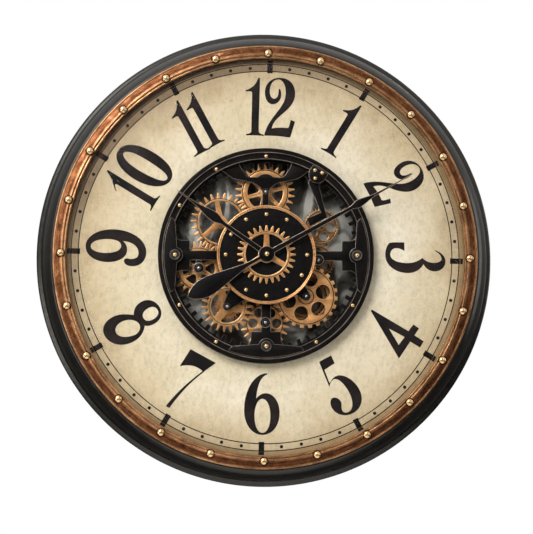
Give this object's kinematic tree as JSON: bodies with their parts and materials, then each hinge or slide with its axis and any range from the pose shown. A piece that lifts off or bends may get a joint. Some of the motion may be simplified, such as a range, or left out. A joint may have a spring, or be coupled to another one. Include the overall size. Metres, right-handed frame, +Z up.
{
  "type": "wall clock",
  "caption": "Large round wall clock with a black stepped case, riveted bronze bezel, parchment dial and an open window of turning copper gears behind a domed lens.",
  "frame": {"origin": "the point on the wall plane straight behind the hands", "axes": "+Z up, +Y into the wall, so the dial faces -Y and 3 o'clock is +X"},
  "size_m": [0.5334, 0.0763, 0.5334],
  "materials": {
    "black_case": "satin black",
    "bronze": "aged bronze with dark patina",
    "dial": "printed parchment",
    "glass": "clear polished",
    "black_metal": "satin black with brown undertone",
    "copper": "brushed copper",
    "gold": "polished",
    "mirror": "smoked grey",
    "steel": "bright",
    "black_plastic": "matt",
    "white_plastic": "matt",
    "cell": "plain jacket, no printing"
  },
  "bodies": {
    "clock": {"back_cover": "black_metal", "bent_lever": "black_metal", "bezel_seat": "black_case", "bottom_bridge": "black_metal", "bottom_post": "steel", "bottom_segment_plate": "black_metal", "centre_disc": "black_metal", "centre_gear": "copper", "centre_rim": "gold", "dial_plate": "dial", "drive_motor": "steel", "gear_well": "black_metal", "glass_lens": "glass", "hanger_plate": "steel", "left_bridge": "black_metal", "left_post": "steel", "left_segment_plate": "black_metal", "lower_left_post": "steel", "lower_right_post": "steel", "mirror_plate": "mirror", "motor_battery": "cell", "motor_case": "black_plastic", "movement_battery": "cell", "movement_bush": "gold", "movement_case": "black_plastic", "outer_case_left": "black_case", "outer_case_right": "black_case", "rear_flange": "black_case", "right_bridge": "black_metal", "right_post": "steel", "right_segment_plate": "black_metal", "rivet_ring": "bronze", "spider_plate": "black_metal", "support_ring": "black_metal", "toothed_ring": "black_metal", "top_post": "steel", "top_yoke": "black_metal", "upper_left_post": "steel", "upper_right_post": "steel", "window_ring": "black_metal"},
    "drive": {"drive_wheel": "copper"},
    "top": {"top_wheel": "copper"},
    "upper_left": {"upper_left_wheel": "copper"},
    "left": {"left_wheel": "copper"},
    "lower_left": {"lower_left_wheel": "copper"},
    "bottom": {"bottom_wheel": "copper"},
    "lower_right": {"lower_right_wheel": "copper", "lower_right_drive_wheel": "copper"},
    "right": {"right_wheel": "bronze"},
    "upper_right": {"upper_right_wheel": "copper"},
    "motor_output": {"output_pinion": "gold"},
    "motor_rotor": {"rotor_pinion": "gold"},
    "minute": {"minute_hand": "black_metal", "minute_arbor": "steel", "hand_cap": "gold"},
    "hour": {"hour_hand": "black_metal", "hour_tube": "gold"},
    "setting": {"setting_knob": "white_plastic"},
    "switch": {"motor_switch": "white_plastic"}
  },
  "joints": [
    {"name": "drive_spin", "type": "hinge", "parent": "clock", "child": "drive", "pos_m": [0, -0.0317, 0], "axis": [0, 1, 0], "continuous": true},
    {"name": "top_spin", "type": "hinge", "parent": "clock", "child": "top", "pos_m": [-0.0006, -0.0367, 0.0744], "axis": [0, 1, 0], "continuous": true},
    {"name": "upper_left_spin", "type": "hinge", "parent": "clock", "child": "upper_left", "pos_m": [-0.05245, -0.0367, 0.03969], "axis": [0, 1, 0], "continuous": true},
    {"name": "left_spin", "type": "hinge", "parent": "clock", "child": "left", "pos_m": [-0.07781, -0.0367, -0.01469], "axis": [0, 1, 0], "continuous": true},
    {"name": "lower_left_spin", "type": "hinge", "parent": "clock", "child": "lower_left", "pos_m": [-0.04467, -0.0367, -0.05883], "axis": [0, 1, 0], "continuous": true},
    {"name": "bottom_spin", "type": "hinge", "parent": "clock", "child": "bottom", "pos_m": [-0.0008, -0.0317, -0.07755], "axis": [0, 1, 0], "continuous": true},
    {"name": "lower_right_spin", "type": "hinge", "parent": "clock", "child": "lower_right", "pos_m": [0.04651, -0.0317, -0.04683], "axis": [0, 1, 0], "continuous": true},
    {"name": "right_spin", "type": "hinge", "parent": "clock", "child": "right", "pos_m": [0.06074, -0.0272, -0.00478], "axis": [0, 1, 0], "continuous": true},
    {"name": "upper_right_spin", "type": "hinge", "parent": "clock", "child": "upper_right", "pos_m": [0.06515, -0.0272, 0.03579], "axis": [0, 1, 0], "continuous": true},
    {"name": "motor_output_spin", "type": "hinge", "parent": "clock", "child": "motor_output", "pos_m": [-0.0492, -0.02, 0.00051], "axis": [0, 1, 0], "continuous": true},
    {"name": "motor_rotor_spin", "type": "hinge", "parent": "clock", "child": "motor_rotor", "pos_m": [-0.0492, -0.014, -0.01869], "axis": [0, 1, 0], "continuous": true},
    {"name": "minute_spin", "type": "hinge", "parent": "clock", "child": "minute", "pos_m": [0, -0.0658, 0], "axis": [0, 1, 0], "continuous": true},
    {"name": "hour_spin", "type": "hinge", "parent": "clock", "child": "hour", "pos_m": [0, -0.0632, 0], "axis": [0, 1, 0], "continuous": true},
    {"name": "setting_spin", "type": "hinge", "parent": "clock", "child": "setting", "pos_m": [0, -0.0096, 0.016], "axis": [0, 1, 0], "continuous": true},
    {"name": "switch_slide", "type": "slide", "parent": "clock", "child": "switch", "axis": [1, 0, 0], "range_m": [0, 0.004]}
  ],
  "couplings": [
    {"joint": "motor_output_spin", "follows": "drive_spin", "ratio": -2.4167},
    {"joint": "left_spin", "follows": "drive_spin", "ratio": 1.9333},
    {"joint": "upper_left_spin", "follows": "drive_spin", "ratio": -1.7846},
    {"joint": "top_spin", "follows": "drive_spin", "ratio": 1.7846},
    {"joint": "lower_left_spin", "follows": "drive_spin", "ratio": -2.1091},
    {"joint": "lower_right_spin", "follows": "drive_spin", "ratio": -1.1154},
    {"joint": "bottom_spin", "follows": "drive_spin", "ratio": 1.381},
    {"joint": "right_spin", "follows": "drive_spin", "ratio": 1.3858},
    {"joint": "upper_right_spin", "follows": "drive_spin", "ratio": -1.3066},
    {"joint": "motor_rotor_spin", "follows": "drive_spin", "ratio": 12.083},
    {"joint": "hour_spin", "follows": "minute_spin", "ratio": 0.083333},
    {"joint": "setting_spin", "follows": "minute_spin", "ratio": -0.33333}
  ]
}
